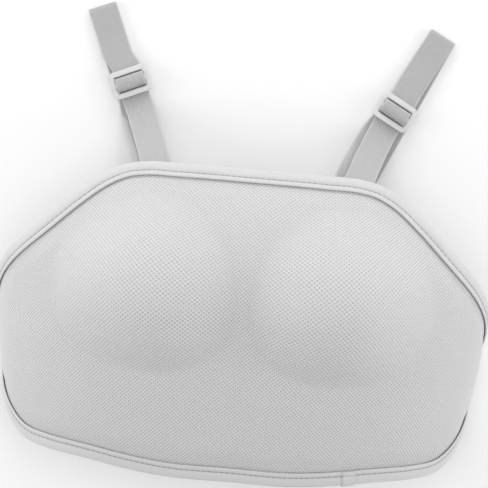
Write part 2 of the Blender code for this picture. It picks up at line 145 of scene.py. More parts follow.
# Tones of the cloths and plastics: light and dark, red, green and blue
# The knit's dark tone is painted shade in its holes, and also cloudy random tone
KNIT_TONES = ((0.63, 0.63, 0.633, 1), (0.36, 0.36, 0.365, 1))
# The tape's dark tone is painted shade in its stitched groove and along its inner edge, and also cloudy
# random tone
TAPE_TONES = ((0.61, 0.61, 0.615, 1), (0.38, 0.38, 0.39, 1))
# The white thread's tones are painted dark grey, as painted shade of the sunk stitches
THREAD_SHADE_TONES = ((0.34, 0.34, 0.35, 1), (0.22, 0.22, 0.23, 1))
FLOOR_TONE = (0.93, 0.93, 0.93, 1)
WORLD_STRENGTH = 0.61

# Camera: its place, lens and sensor in millimetres, and the picture's turn in degrees
CAMERA_PLACE = (-0.0028, -0.0028, 1.4)
CAMERA_LENS = 133.8
CAMERA_SENSOR = 36
CAMERA_TURN = 5

arch_share = np.linspace(0.0, 1.06, 425)
arch_angle = np.radians(np.interp(arch_share, [row[0] for row in ARCH], [row[1] for row in ARCH]))
step_angle = (arch_angle[1:] + arch_angle[:-1]) / 2
step_size = arch_share[1] - arch_share[0]
arch_out = np.concatenate([[0], np.cumsum(np.cos(step_angle))]) * step_size
arch_down = np.concatenate([[0], np.cumsum(np.sin(step_angle))]) * step_size
OUT_MAX = arch_out.max()
DOWN_MAX = np.interp(1.0, arch_share, arch_down)
HALF_ARC = HALF_WIDTH / OUT_MAX
FOLD_OUT = 1.2 * TAPE_GAP + TAPE_THICK / 2
FOOT = FOLD_OUT + TAPE_THICK / 2


def smooth(rows, column, at):
    """Smooth values of one column of a table, read at positions in its first column."""
    knots = np.array([row[0] for row in rows], float)
    values = np.array([row[column] for row in rows], float)
    slopes = np.gradient(values, knots)
    at = np.asarray(at, float)
    low = np.clip(np.searchsorted(knots, at) - 1, 0, len(knots) - 2)
    span = knots[low + 1] - knots[low]
    t = (at - knots[low]) / span
    start = values[low] * (1 + 2 * t) * (1 - t) ** 2 + slopes[low] * span * t * (1 - t) ** 2
    end = values[low + 1] * t * t * (3 - 2 * t) + slopes[low + 1] * span * t * t * (t - 1)
    return start + end


def ease(low, high, at):
    """Smooth step from 0 at low to 1 at high."""
    t = np.clip((np.asarray(at, float) - low) / (high - low), 0, 1)
    return t * t * (3 - 2 * t)


def middle(share, y):
    """Middle surface of the bare arch at a signed share of the arc and a height y."""
    half = HALF_WIDTH * smooth(SPINE, 1, y / PANEL_HEIGHT)
    crest = ARCH_HEIGHT * smooth(SPINE, 2, y / PANEL_HEIGHT)
    size = np.abs(share)
    x = np.sign(share) * half * np.interp(size, arch_share, arch_out) / OUT_MAX
    z = crest * (1 - np.interp(size, arch_share, arch_down) / DOWN_MAX)
    return np.stack([x, y + 0 * x, z + FOOT], -1)


def normals(surface, share, y):
    """Unit normals of a surface, pointing out of the front."""
    across = surface(share + 0.004, y) - surface(share - 0.004, y)
    along = surface(share, y + 0.0008) - surface(share, y - 0.0008)
    out = np.cross(across, along)
    return out / np.linalg.norm(out, axis=-1, keepdims=True)


def cups(share, y):
    """Height of the two moulded cups over the bare arch."""
    side = (np.abs(share) - CUP_SHARE) * HALF_ARC
    rise = y - CUP_LEVEL
    reach = (side / np.where(side < 0, CUP_SIDES["inner"], CUP_SIDES["outer"])) ** 2
    reach = reach + (rise / np.where(rise < 0, CUP_SIDES["lower"], CUP_SIDES["upper"])) ** 2
    reach = reach / CUP_REACH ** 2
    return CUP_HEIGHT * np.clip(1 - reach, 0, None) ** CUP_POWER


def shell(share, y):
    """Middle surface of the padded panel, cups included."""
    share = np.asarray(share, float)
    y = np.asarray(y, float)
    return middle(share, y) + normals(middle, share, y) * cups(share, y)[..., None]


def offset(share, y, height):
    """Points at a height over the panel's middle surface."""
    return shell(share, y) + normals(shell, share, y) * np.asarray(height)[..., None]


def cloth_grid(name, points, flat, turned=False):
    """Mesh of a grid laid to points[i, j], with the cloth's flat place in metres as its UV map."""
    rows, columns = points.shape[:2]
    build = bmesh.new()
    bmesh.ops.create_grid(build, x_segments=rows - 1, y_segments=columns - 1, size=1)
    if turned:
        bmesh.ops.reverse_faces(build, faces=build.faces)
    mesh = bpy.data.meshes.new(name)
    build.to_mesh(mesh)
    build.free()
    spots = np.empty(len(mesh.vertices) * 3, np.float32)
    mesh.vertices.foreach_get("co", spots)
    spots = spots.reshape(-1, 3)
    i = np.rint((spots[:, 0] + 1) / 2 * (rows - 1)).astype(int)
    j = np.rint((spots[:, 1] + 1) / 2 * (columns - 1)).astype(int)
    laid = (points[i, j] + PLACE).astype(np.float32)
    mesh.vertices.foreach_set("co", laid.ravel())
    corners = np.empty(len(mesh.loops), np.int32)
    mesh.loops.foreach_get("vertex_index", corners)
    cloth = mesh.uv_layers.new(name="cloth")
    cloth.data.foreach_set("uv", flat[i, j][corners].astype(np.float32).ravel())
    mesh.update()
    return mesh


def finish_mesh(name, meshes, close=None, weld=0.0):
    """Join meshes into one, bridging or filling their open edges, with smooth faces."""
    build = bmesh.new()
    for mesh in meshes:
        build.from_mesh(mesh)
    if weld:
        bmesh.ops.remove_doubles(build, verts=build.verts, dist=weld)
    rims = [edge for edge in build.edges if edge.is_boundary]
    if close == "bridge":
        bmesh.ops.bridge_loops(build, edges=rims)
    elif close == "fill":
        bmesh.ops.holes_fill(build, edges=rims, sides=0)
    for face in build.faces:
        face.smooth = True
    joined = bpy.data.meshes.new(name)
    build.to_mesh(joined)
    build.free()
    for mesh in meshes:
        bpy.data.meshes.remove(mesh)
    return joined


def add_piece(name, mesh, paint, node=None):
    """Object for a finished mesh, with its material and the solid that it stands for."""
    piece = bpy.data.objects.new(name, mesh)
    scene.collection.objects.link(piece)
    mesh.materials.clear()
    mesh.materials.append(paint)
    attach(piece, "root")
    if node:
        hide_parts(node)
    return piece


# Shared finishes
def new_group(name, inputs, outputs):
    """Empty shader node group with named sockets and its two end nodes."""
    group = bpy.data.node_groups.new(name, "ShaderNodeTree")
    for title, kind, value in inputs:
        socket = group.interface.new_socket(title, in_out="INPUT", socket_type=kind)
        if value is not None:
            socket.default_value = value
    for title, kind in outputs:
        group.interface.new_socket(title, in_out="OUTPUT", socket_type=kind)
    start = group.nodes.new("NodeGroupInput")
    end = group.nodes.new("NodeGroupOutput")
    return group, start, end


def plug(tree, source, target):
    """Link two sockets, or set a socket to a number."""
    if isinstance(source, (int, float)):
        target.default_value = source
    else:
        tree.links.new(source, target)


def sums(tree, kind, a, b=0.0, c=None):
    """Math node's result."""
    node = tree.nodes.new("ShaderNodeMath")
    node.operation = kind
    plug(tree, a, node.inputs[0])
    plug(tree, b, node.inputs[1])
    if c is not None:
        plug(tree, c, node.inputs[2])
    return node.outputs[0]


def ramp(tree, value, low, high, to_low=0.0, to_high=1.0):
    """Smooth map of a value from one range to another."""
    node = tree.nodes.new("ShaderNodeMapRange")
    node.interpolation_type = "SMOOTHSTEP"
    plug(tree, value, node.inputs["Value"])
    for title, part in (("From Min", low), ("From Max", high), ("To Min", to_low), ("To Max", to_high)):
        plug(tree, part, node.inputs[title])
    return node.outputs["Result"]


def noise(tree, vector, scale, detail=2.0):
    """Value of a noise texture."""
    node = tree.nodes.new("ShaderNodeTexNoise")
    node.inputs["Detail"].default_value = detail
    plug(tree, vector, node.inputs["Vector"])
    plug(tree, scale, node.inputs["Scale"])
    return node.outputs[0]


def split(tree, vector):
    """X, Y and Z of a vector."""
    node = tree.nodes.new("ShaderNodeSeparateXYZ")
    plug(tree, vector, node.inputs[0])
    return node.outputs


VECTOR = "NodeSocketVector"
FLOAT = "NodeSocketFloat"
COLOUR = "NodeSocketColor"


def mesh_knit_group():
    """Diamond mesh knit: holes on a lattice with a second row between, yarn grain over it."""
    group, start, end = new_group(
        "mesh knit",
        [("Place", VECTOR, None), ("Wide", FLOAT, KNIT_WIDE), ("Tall", FLOAT, KNIT_TALL)],
        [("Height", FLOAT), ("Hole", FLOAT), ("Yarn", FLOAT)],
    )
    x, y, _ = split(group, start.outputs["Place"])
    waves = []
    for at, size in ((x, "Wide"), (y, "Tall")):
        turns = sums(group, "DIVIDE", at, start.outputs[size])
        waves.append(sums(group, "COSINE", sums(group, "MULTIPLY", turns, 2 * math.pi)))
    lattice = sums(group, "MULTIPLY", *waves)
    hole = ramp(group, lattice, 0.05, 0.85)
    yarn = noise(group, start.outputs["Place"], 2600.0, 1.0)
    grain = sums(group, "MULTIPLY_ADD", yarn, 0.35, sums(group, "SUBTRACT", 1.0, hole))
    plug(group, grain, end.inputs["Height"])
    plug(group, hole, end.inputs["Hole"])
    plug(group, yarn, end.inputs["Yarn"])
    return group


def rib_group():
    """Elastic webbing: ribs along its length, crossed by fine weft rows, with a plain selvedge; its valley
    mask is painted shade in the rib valleys.
    """
    group, start, end = new_group(
        "elastic ribs",
        [("Place", VECTOR, None), ("Rib", FLOAT, 0.0012), ("Row", FLOAT, 0.0009), ("Half", FLOAT, 0.011)],
        [("Height", FLOAT), ("Valley shade", FLOAT), ("Selvedge", FLOAT)],
    )
    x, y, _ = split(group, start.outputs["Place"])
    turns = sums(group, "DIVIDE", x, start.outputs["Rib"])
    rib = sums(group, "COSINE", sums(group, "MULTIPLY", turns, 2 * math.pi))
    shifted = sums(group, "MULTIPLY_ADD", rib, 0.25, sums(group, "DIVIDE", y, start.outputs["Row"]))
    row = sums(group, "COSINE", sums(group, "MULTIPLY", shifted, 2 * math.pi))
    edge = sums(group, "SUBTRACT", start.outputs["Half"], sums(group, "ABSOLUTE", x))
    selvedge = ramp(group, edge, 0.0004, 0.0016, 1.0, 0.0)
    woven = sums(group, "MULTIPLY_ADD", rib, 0.5, sums(group, "MULTIPLY", row, 0.5))
    plain = sums(group, "SUBTRACT", 1.0, selvedge)
    height = sums(group, "MULTIPLY_ADD", woven, plain, sums(group, "MULTIPLY", selvedge, 0.8))
    fuzz = noise(group, start.outputs["Place"], 1800.0, 2.0)
    plug(group, sums(group, "MULTIPLY_ADD", fuzz, 0.3, height), end.inputs["Height"])
    # Painted shade: a mask that is 1 in the rib valleys, used to darken the colour
    plug(group, ramp(group, woven, -0.7, 0.1, 1.0, 0.0), end.inputs["Valley shade"])
    plug(group, selvedge, end.inputs["Selvedge"])
    return group


def shade_group():
    """Colour mixed towards a darker tone by a mask, with a slow cloudy change over the cloth."""
    group, start, end = new_group(
        "cloth tone",
        [("Place", VECTOR, None), ("Light", COLOUR, (0.8, 0.8, 0.8, 1)), ("Dark", COLOUR, (0.6, 0.6, 0.6, 1)),
         ("Mask", FLOAT, 0.0), ("Cloud", FLOAT, 0.05)],
        [("Colour", COLOUR)],
    )
    cloud = sums(group, "SUBTRACT", noise(group, start.outputs["Place"], 22.0, 3.0), 0.5)
    mask = sums(group, "MULTIPLY_ADD", cloud, start.outputs["Cloud"], start.outputs["Mask"])
    blend = group.nodes.new("ShaderNodeMix")
    blend.data_type = "RGBA"
    blend.clamp_factor = True
    plug(group, mask, blend.inputs["Factor"])
    plug(group, start.outputs["Light"], blend.inputs["A"])
    plug(group, start.outputs["Dark"], blend.inputs["B"])
    colour = [socket for socket in blend.outputs if socket.type == "RGBA"][0]
    plug(group, colour, end.inputs["Colour"])
    return group


MESH_KNIT = mesh_knit_group()
RIBS = rib_group()
TONE = shade_group()


def new_material(name, roughness, sheen=0.0, coat=0.0, specular=0.5):
    """Material with its shader's even values set, its tree and its shader."""
    paint = bpy.data.materials.new(name)
    paint.use_nodes = True
    tree = paint.node_tree
    shader = tree.nodes["Principled BSDF"]
    shader.inputs["Roughness"].default_value = roughness
    shader.inputs["Sheen Weight"].default_value = sheen
    shader.inputs["Sheen Roughness"].default_value = 0.5
    shader.inputs["Coat Weight"].default_value = coat
    shader.inputs["Coat Roughness"].default_value = 0.3
    shader.inputs["Specular IOR Level"].default_value = specular
    return paint, tree, shader


def put_group(tree, group, **values):
    """Group node in a material, with its inputs set or linked."""
    node = tree.nodes.new("ShaderNodeGroup")
    node.node_tree = group
    for title, value in values.items():
        socket = node.inputs[title]
        if isinstance(value, bpy.types.NodeSocket):
            tree.links.new(value, socket)
        else:
            socket.default_value = value
    return node


def put_bump(tree, shader, height, distance, strength=1.0):
    """Bump from a height to the shader's normal."""
    node = tree.nodes.new("ShaderNodeBump")
    node.inputs["Distance"].default_value = distance
    node.inputs["Strength"].default_value = strength
    tree.links.new(height, node.inputs["Height"])
    tree.links.new(node.outputs["Normal"], shader.inputs["Normal"])


def place_of(tree, kind):
    """The cloth's own flat map, or object coordinates."""
    if kind == "cloth":
        node = tree.nodes.new("ShaderNodeUVMap")
        node.uv_map = "cloth"
        return node.outputs["UV"]
    return tree.nodes.new("ShaderNodeTexCoord").outputs["Object"]


def knit_material():
    """White diamond mesh over the pad, its holes painted darker as painted shade."""
    paint, tree, shader = new_material("white mesh knit", 0.85, sheen=0.12, specular=0.25)
    place = place_of(tree, "cloth")
    knit = put_group(tree, MESH_KNIT, Place=place)
    tone = put_group(tree, TONE, Place=place, Light=KNIT_TONES[0], Dark=KNIT_TONES[1], Cloud=0.10)
    across = split(tree, place)[0]
    open_knit = ramp(tree, sums(tree, "ABSOLUTE", across), KNIT_EVEN, HALF_ARC * 0.92, 1.0, 0.15)
    hole = sums(tree, "MULTIPLY", knit.outputs["Hole"], open_knit)
    # Painted shade: the knit's holes are darkened, less towards the sides
    tree.links.new(sums(tree, "MULTIPLY", hole, 0.55), tone.inputs["Mask"])
    tree.links.new(tone.outputs["Colour"], shader.inputs["Base Color"])
    put_bump(tree, shader, sums(tree, "MULTIPLY", knit.outputs["Height"], open_knit), KNIT_RELIEF)
    return paint


def webbing_material(name, light, dark, half, rib=0.0012):
    """Ribbed white elastic, its rib valleys painted darker as painted shade."""
    paint, tree, shader = new_material(name, 0.75, sheen=0.1, specular=0.3)
    place = place_of(tree, "cloth")
    ribs = put_group(tree, RIBS, Place=place, Half=half, Rib=rib)
    tone = put_group(
        tree, TONE, Place=place, Light=(light, light, light, 1), Dark=(dark, dark, dark, 1), Cloud=0.12,
    )
    # Painted shade: the rib valleys are darkened
    tree.links.new(sums(tree, "MULTIPLY", ribs.outputs["Valley shade"], 0.45), tone.inputs["Mask"])
    tree.links.new(tone.outputs["Colour"], shader.inputs["Base Color"])
    put_bump(tree, shader, ribs.outputs["Height"], RIB_RELIEF)
    return paint


def tape_material():
    """Smooth folded tape, a little shiny, with a fine diagonal twill and painted shade in its stitched groove
    and along its inner edge.
    """
    paint, tree, shader = new_material("white binding tape", 0.55, sheen=0.1, specular=0.4)
    place = place_of(tree, "cloth")
    x, y, _ = split(tree, place)
    twill = sums(tree, "SINE", sums(tree, "MULTIPLY", sums(tree, "ADD", x, y), 2 * math.pi / TWILL))
    tape_shade = tree.nodes.new("ShaderNodeAttribute")
    tape_shade.attribute_name = "tape_shade"
    tone = put_group(tree, TONE, Place=place, Light=TAPE_TONES[0], Dark=TAPE_TONES[1], Cloud=0.14)
    # Painted shade: the stitched groove and the inner edge are darkened
    tree.links.new(sums(tree, "MULTIPLY", tape_shade.outputs["Fac"], 0.25), tone.inputs["Mask"])
    tree.links.new(tone.outputs["Colour"], shader.inputs["Base Color"])
    wear = noise(tree, place, 900.0, 2.0)
    put_bump(tree, shader, sums(tree, "MULTIPLY_ADD", twill, 0.35, wear), 0.00008)
    return paint


def thread_material():
    """White sewing thread, painted dark grey as painted shade of the sunk stitches, with a random twist tone.
    """
    paint, tree, shader = new_material("white thread", 0.6, specular=0.35)
    place = place_of(tree, "object")
    twist = noise(tree, place, 3000.0, 1.0)
    # Painted shade: the thread is coloured dark grey, darker still in a random twist
    tone = put_group(tree, TONE, Place=place, Light=THREAD_SHADE_TONES[0], Dark=THREAD_SHADE_TONES[1], Cloud=0.2)
    tree.links.new(ramp(tree, twist, 0.35, 0.65, 0.0, 0.5), tone.inputs["Mask"])
    tree.links.new(tone.outputs["Colour"], shader.inputs["Base Color"])
    put_bump(tree, shader, twist, 0.0001)
    return paint


def plastic_material(name, light, roughness, subsurface=0.0):
    """Milky moulded plastic with faint flow marks and a fine spark-eroded grain."""
    paint, tree, shader = new_material(name, roughness, coat=0.15, specular=0.5)
    shader.inputs["Subsurface Weight"].default_value = subsurface
    shader.inputs["Subsurface Radius"].default_value = (0.0015, 0.0015, 0.0015)
    shader.inputs["Subsurface Scale"].default_value = 1.0
    place = place_of(tree, "object")
    grain = noise(tree, place, 1500.0, 2.0)
    flow = noise(tree, place, 90.0, 2.0)
    tone = put_group(tree, TONE, Place=place, Light=(light, light, light, 1), Cloud=0.1,
                     Dark=(light * 0.82, light * 0.82, light * 0.83, 1))
    tree.links.new(ramp(tree, flow, 0.35, 0.75, 0.0, 0.35), tone.inputs["Mask"])
    tree.links.new(tone.outputs["Colour"], shader.inputs["Base Color"])
    tree.links.new(ramp(tree, flow, 0.3, 0.7, roughness - 0.05, roughness + 0.08), shader.inputs["Roughness"])
    put_bump(tree, shader, grain, 0.00003)
    return paint


KNIT = knit_material()
TAPE = tape_material()
STRAP = webbing_material("white elastic webbing", 0.50, 0.32, STRAP_WIDTH / 2)
BAND = webbing_material("white wide elastic", 0.56, 0.37, BAND_WIDTH / 2, 0.0016)
STITCH = thread_material()
SLIDER = plastic_material("milky slider plastic", 0.67, 0.32, 0.25)
LOOP = plastic_material("white loop plastic", 0.66, 0.45)

# Outline of the panel, resampled at even steps
spread = np.linspace(-1, 1, 401)
rim_columns = np.sign(spread) * (1 - (1 - np.abs(spread)) ** 1.25)
rim_top = PANEL_HEIGHT * smooth(RIM, 1, np.abs(rim_columns))
rim_bottom = PANEL_HEIGHT * smooth(RIM, 2, np.abs(rim_columns))
side_rows = np.linspace(0, 1, 60)[1:-1]
side_y = rim_bottom[-1] + (rim_top[-1] - rim_bottom[-1]) * side_rows
outline_share = np.concatenate([rim_columns, np.ones(58), rim_columns[::-1], -np.ones(58)])
outline_y = np.concatenate([rim_bottom, side_y, rim_top[::-1], side_y[::-1]])
outline_share = np.append(outline_share, outline_share[0])
outline_y = np.append(outline_y, outline_y[0])
outline = shell(outline_share, outline_y)
run = np.concatenate([[0], np.cumsum(np.linalg.norm(np.diff(outline, axis=0), axis=1))])
STATIONS = int(round(run[-1] / RIM_STEP))
rim_run = np.linspace(0, run[-1], STATIONS + 1)[:-1]
rim_share = np.interp(rim_run, run, outline_share)
rim_y = np.interp(rim_run, run, outline_y)
rim_points = shell(rim_share, rim_y)
RIM_LENGTH = run[-1]


def around(values, width):
    """Values along the closed rim, averaged over a few stations."""
    reach = 3 * width
    weights = np.exp(-0.5 * (np.arange(-reach, reach + 1) / width) ** 2)
    weights /= weights.sum()
    wide = np.concatenate([values[-reach:], values, values[:reach]])
    return np.stack([np.convolve(wide[:, k], weights, "valid") for k in range(values.shape[1])], -1)


rim_along = np.roll(rim_points, -1, 0) - np.roll(rim_points, 1, 0)
rim_normal = normals(shell, rim_share, rim_y)
rim_in = np.cross(rim_normal, rim_along)
rim_in /= np.linalg.norm(rim_in, axis=1, keepdims=True)
rim_in = around(rim_in, 4)
rim_in /= np.linalg.norm(rim_in, axis=1, keepdims=True)


def walk(share, y, direction, distance, steps=4):
    """Share and y reached from a point of the panel after a distance in a direction."""
    for _ in range(steps):
        across = (shell(share + 0.002, y) - shell(share - 0.002, y)) / 0.004
        along = (shell(share, y + 0.0004) - shell(share, y - 0.0004)) / 0.0008
        a = (across * across).sum(-1)
        b = (across * along).sum(-1)
        c = (along * along).sum(-1)
        p = (across * direction).sum(-1) * distance / steps
        q = (along * direction).sum(-1) * distance / steps
        scale = a * c - b * b
        share, y = share + (c * p - b * q) / scale, y + (a * q - b * p) / scale
    return share, y


# Padded panel: front and lining laid as grids and joined at the rim, then swollen as cloth
spread = np.linspace(-1, 1, PAD_COLUMNS + 1)
column_share = np.sign(spread) * (1 - (1 - np.abs(spread)) ** 1.25)
level = np.linspace(0, 1, PAD_ROWS + 1)
row_share = 0.5 * level + 0.25 * (1 - np.cos(math.pi * level))
pad_top = PANEL_HEIGHT * smooth(RIM, 1, np.abs(column_share))
pad_bottom = PANEL_HEIGHT * smooth(RIM, 2, np.abs(column_share))
pad_share = np.repeat(column_share[:, None], PAD_ROWS + 1, 1)
pad_y = pad_bottom[:, None] + (pad_top - pad_bottom)[:, None] * row_share[None, :]
rim_tree = KDTree(len(rim_points))
for index, point in enumerate(rim_points):
    rim_tree.insert(point, index)
rim_tree.balance()
pad_middle = shell(pad_share, pad_y)
pad_depth = np.array([rim_tree.find(point)[2] for point in pad_middle.reshape(-1, 3)])
pad_depth = pad_depth.reshape(pad_share.shape)
puff = ease(TAPE_WIDTH, TAPE_WIDTH + PUFF_RISE, pad_depth)
pad_half = (EDGE_THICK + (PAD_THICK - EDGE_THICK) * puff) / 2
pad_flat = np.stack([pad_share * HALF_ARC, pad_y], -1)
pad_rise = pad_y / PANEL_HEIGHT
ripple = RIPPLE * puff * (
    np.sin(pad_share * 23.0 + 9.0 * pad_rise) + np.sin(pad_share * 11.0 - 17.0 * pad_rise + 1.3)
)
front = offset(pad_share, pad_y, pad_half + ripple)
lining = offset(pad_share, pad_y, -pad_half)
pad_mesh = finish_mesh(
    "chest_pad",
    [cloth_grid("front", front, pad_flat), cloth_grid("lining", lining, pad_flat, turned=True)],
    close="bridge",
)
pad = add_piece("chest_pad", pad_mesh, KNIT, "padded_panel")


def swell(piece, hold, cap, frames=20):
    """Inflate a closed piece as cloth, held by vertex weights, and keep the capped result."""
    mesh = piece.data
    before = np.empty(len(mesh.vertices) * 3, np.float32)
    mesh.vertices.foreach_get("co", before)
    out = np.empty_like(before)
    mesh.vertices.foreach_get("normal", out)
    group = piece.vertex_groups.new(name="held")
    for index, weight in enumerate(hold):
        group.add([index], float(weight), "REPLACE")
    cloth = piece.modifiers.new("swell", "CLOTH")
    cloth.settings.quality = 6
    cloth.settings.mass = 0.25
    cloth.settings.tension_stiffness = 60
    cloth.settings.compression_stiffness = 60
    cloth.settings.bending_stiffness = 4
    cloth.settings.use_pressure = True
    cloth.settings.uniform_pressure_force = 4
    cloth.settings.vertex_group_mass = "held"
    cloth.settings.pin_stiffness = 40
    cloth.settings.effector_weights.gravity = 0
    cloth.point_cache.frame_start = 1
    cloth.point_cache.frame_end = frames
    for step in range(1, frames + 1):
        scene.frame_set(step)
    graph = bpy.context.evaluated_depsgraph_get()
    shown = piece.evaluated_get(graph).to_mesh()
    after = np.empty_like(before)
    shown.vertices.foreach_get("co", after)
    piece.evaluated_get(graph).to_mesh_clear()
    piece.modifiers.remove(cloth)
    piece.vertex_groups.remove(group)
    scene.frame_set(1)
    before, after, out = (part.reshape(-1, 3) for part in (before, after, out))
    rise = np.clip(((after - before) * out).sum(1), -0.2 * cap, cap) * (1 - hold)
    mesh.vertices.foreach_set("co", (before + out * rise[:, None]).astype(np.float32).ravel())
    mesh.update()


pad_count = pad_share.size
spots = np.empty(len(pad.data.vertices) * 3, np.float32)
pad.data.vertices.foreach_get("co", spots)
spots = spots.reshape(-1, 3) - PLACE
front_tree = KDTree(pad_count)
for index, point in enumerate(front.reshape(-1, 3)):
    front_tree.insert(point, index)
front_tree.balance()
held = np.ones(len(spots))
free = 1 - ease(TAPE_WIDTH - 0.001, TAPE_WIDTH + 0.006, pad_depth).ravel()
for index, spot in enumerate(spots[:pad_count]):
    held[index] = free[front_tree.find(spot)[1]]
swell(pad, held, SWELL_CAP)
finer = pad.modifiers.new("finer", "SUBSURF")
finer.levels = 1
finer.render_levels = 1

# Edge binding: outer roll, stitched groove and raised inner lip, folded round the rim
lip = EDGE_THICK / 2 + TAPE_GAP + TAPE_THICK / 2
BINDING_FRONT = (
    (0.0106, 0.00000), (0.0103, 0.00030), (0.0095, 0.00052), (0.0085, 0.00048), (0.0077, 0.00012),
    (0.0071, -0.00028), (0.0066, -0.00032), (0.0060, -0.00006), (0.0051, 0.00034), (0.0040, 0.00052),
    (0.0028, 0.00050), (0.0015, 0.00034), (0.0000, 0.00004),
)
BINDING_FOLD = (
    (-0.00045, 0.84), (-0.00078, 0.55), (-FOLD_OUT - 0.0002, 0.0), (-0.00078, -0.55), (-0.00045, -0.84),
)


def binding_rows(pick, extra=0.0):
    """Section points of the tape at chosen rim stations."""
    share, y, inward = rim_share[pick], rim_y[pick], rim_in[pick]
    along = rim_run[pick]
    pucker = PUCKER * np.cos(2 * math.pi * along / STITCH_PITCH)
    slack = 0.00012 * np.sin(along * 61.0) + 0.00010 * np.sin(along * 143.0 + 1.0)
    up = normals(shell, share, y)
    rows = []
    for distance, rise in BINDING_FRONT:
        near = math.exp(-((distance - STITCH_LINE) / 0.0018) ** 2)
        at_share, at_y = walk(share, y, inward, distance) if distance > 0 else (share, y)
        height = lip + rise + pucker * near + slack * (distance < 0.006) + extra
        rows.append(offset(at_share, at_y, height + 0 * at_y))
    for distance, turn in BINDING_FOLD:
        push = -extra if distance < 0 else 0.0
        rows.append(shell(share, y) + inward * (distance + push) + up * turn * (lip + extra))
    for distance, rise in BINDING_FRONT[::-1]:
        near = math.exp(-((distance - STITCH_LINE) / 0.0018) ** 2)
        at_share, at_y = walk(share, y, inward, distance) if distance > 0 else (share, y)
        height = lip + 0.6 * rise + pucker * near + extra
        rows.append(offset(at_share, at_y, -height + 0 * at_y))
    return np.stack(rows, 1)


def section_run(points):
    """Distance round a section, averaged over its stations."""
    steps = np.linalg.norm(np.diff(points, axis=1), axis=2).mean(0)
    return np.concatenate([[0], np.cumsum(steps)])


def binding_piece(name, pick, closed, extra=0.0):
    """Tape mesh over rim stations, with an attribute of painted shade along the stitched groove and the inner
    edge.
    """
    points = binding_rows(pick, extra)
    along = np.arange(len(pick)) * RIM_LENGTH / STATIONS
    flat = np.stack(np.broadcast_arrays(section_run(points)[None, :], along[:, None]), -1)
    mesh = finish_mesh(name, [cloth_grid(name, points, flat)], weld=1e-6 if closed else 0)
    piece = add_piece(name, mesh, TAPE, "edge_binding" if closed else None)
    front_depth = [row[0] for row in BINDING_FRONT]
    depth = front_depth + [0.0] * len(BINDING_FOLD) + front_depth[::-1]
    # Painted shade, strongest in the stitched groove and less along the tape's inner edge
    tape_shade_row = np.exp(-((np.array(depth) - STITCH_LINE) / 0.0006) ** 2)
    tape_shade_row = np.maximum(tape_shade_row, 0.45 * ease(0.0102, 0.0106, depth))
    tree = KDTree(points.shape[0] * points.shape[1])
    for index, point in enumerate(points.reshape(-1, 3)):
        tree.insert(point, index)
    tree.balance()
    layer = mesh.attributes.new("tape_shade", "FLOAT", "POINT")
    for vert in mesh.vertices:
        found = tree.find(Vector(vert.co) - Vector(PLACE))[1]
        layer.data[vert.index].value = float(tape_shade_row[found % points.shape[1]])
    wall = piece.modifiers.new("tape wall", "SOLIDIFY")
    wall.thickness = TAPE_THICK * (0.9 if closed else 0.6)
    wall.offset = 0


ring = np.append(np.arange(STATIONS), 0)
binding_piece("binding_tape", ring, closed=True)

below = (rim_y < -0.3 * PANEL_HEIGHT)
join_at = np.argmin(np.where(below, np.abs(rim_points[:, 0] - JOIN_X), 9.0))
join_half = int(round(JOIN_HALF / RIM_STEP))
join_pick = np.arange(join_at - join_half, join_at + join_half + 1) % STATIONS
binding_piece("binding_join", join_pick, closed=False, extra=JOIN_RISE)


# Sewing thread
def add_threads(name, spans, radius=THREAD):
    """One mesh of short rounded stitches, each between two points."""
    build = bmesh.new()
    for start, end in spans:
        start = Vector(start + PLACE)
        end = Vector(end + PLACE)
        turn = (end - start).to_track_quat("Z", "Y").to_matrix().to_4x4()
        stretch = Matrix.Diagonal((radius, radius, (end - start).length / 2 + radius, 1))
        place = Matrix.Translation((start + end) / 2) @ turn @ stretch
        bmesh.ops.create_uvsphere(build, u_segments=7, v_segments=6, radius=1, matrix=place)
    for face in build.faces:
        face.smooth = True
    mesh = bpy.data.meshes.new(name)
    build.to_mesh(mesh)
    build.free()
    return add_piece(name, mesh, STITCH)


def rim_stitches(side, sink):
    """Stitch ends along the binding's groove, on the front or on the lining side."""
    count = int(RIM_LENGTH / STITCH_PITCH)
    pitch = RIM_LENGTH / count
    starts = np.arange(count) * pitch
    lines = []
    for shift in (0.0, STITCH_LENGTH):
        at = (starts + shift) % RIM_LENGTH
        share = np.interp(at, rim_run, rim_share, period=RIM_LENGTH)
        y = np.interp(at, rim_run, rim_y, period=RIM_LENGTH)
        inward = np.stack([np.interp(at, rim_run, rim_in[:, k], period=RIM_LENGTH) for k in range(3)], -1)
        at_share, at_y = walk(share, y, inward, STITCH_LINE)
        lines.append(offset(at_share, at_y, side * (lip + sink) + 0 * at_y))
    return list(zip(*lines))


surface = TAPE_THICK * 0.45
add_threads("binding_stitches_front", rim_stitches(1, surface - 0.00012))
add_threads("binding_stitches_lining", rim_stitches(-1, surface - 0.00016))

# Levels of the webbing stack on the table, middle of each layer
HALF = STRAP_THICK / 2
RUN_Z = HALF
UNDER_Z = RUN_Z + STRAP_THICK + GAP
FRONT_Z = UNDER_Z + 2 * (STRAP_THICK + GAP)
FRAME_Z = FRONT_Z + HALF + GAP
FRAME_TOP = FRAME_Z + SLIDER_THICK
WRAP = GAP + HALF
INNER_TOP = FRAME_TOP + WRAP
OUTER_TOP = INNER_TOP + STRAP_THICK + GAP
BAR_HALF = SLIDER_BAR / 2
INNER_OUT = BAR_HALF + WRAP
OUTER_OUT = INNER_OUT + STRAP_THICK + GAP
FRAME_HALF = SLIDER_LENGTH / 2
LOOP_FACE = PAD_THICK / 2 + SEAT_GAP
LOOP_BAR_TOP = LOOP_FACE + 2 * GAP + STRAP_THICK
LOOP_BAR_LOW = LOOP_BAR_TOP + LOOP_BAR_THICK


def share_at(x, y):
    """Share of the arch whose middle surface is over x at a given y."""
    half = float(HALF_WIDTH * smooth(SPINE, 1, y / PANEL_HEIGHT))
    rising = int(arch_out.argmax())
    size = np.interp(abs(x) / half * OUT_MAX, arch_out[:rising + 1], arch_share[:rising + 1])
    return math.copysign(float(size), x)


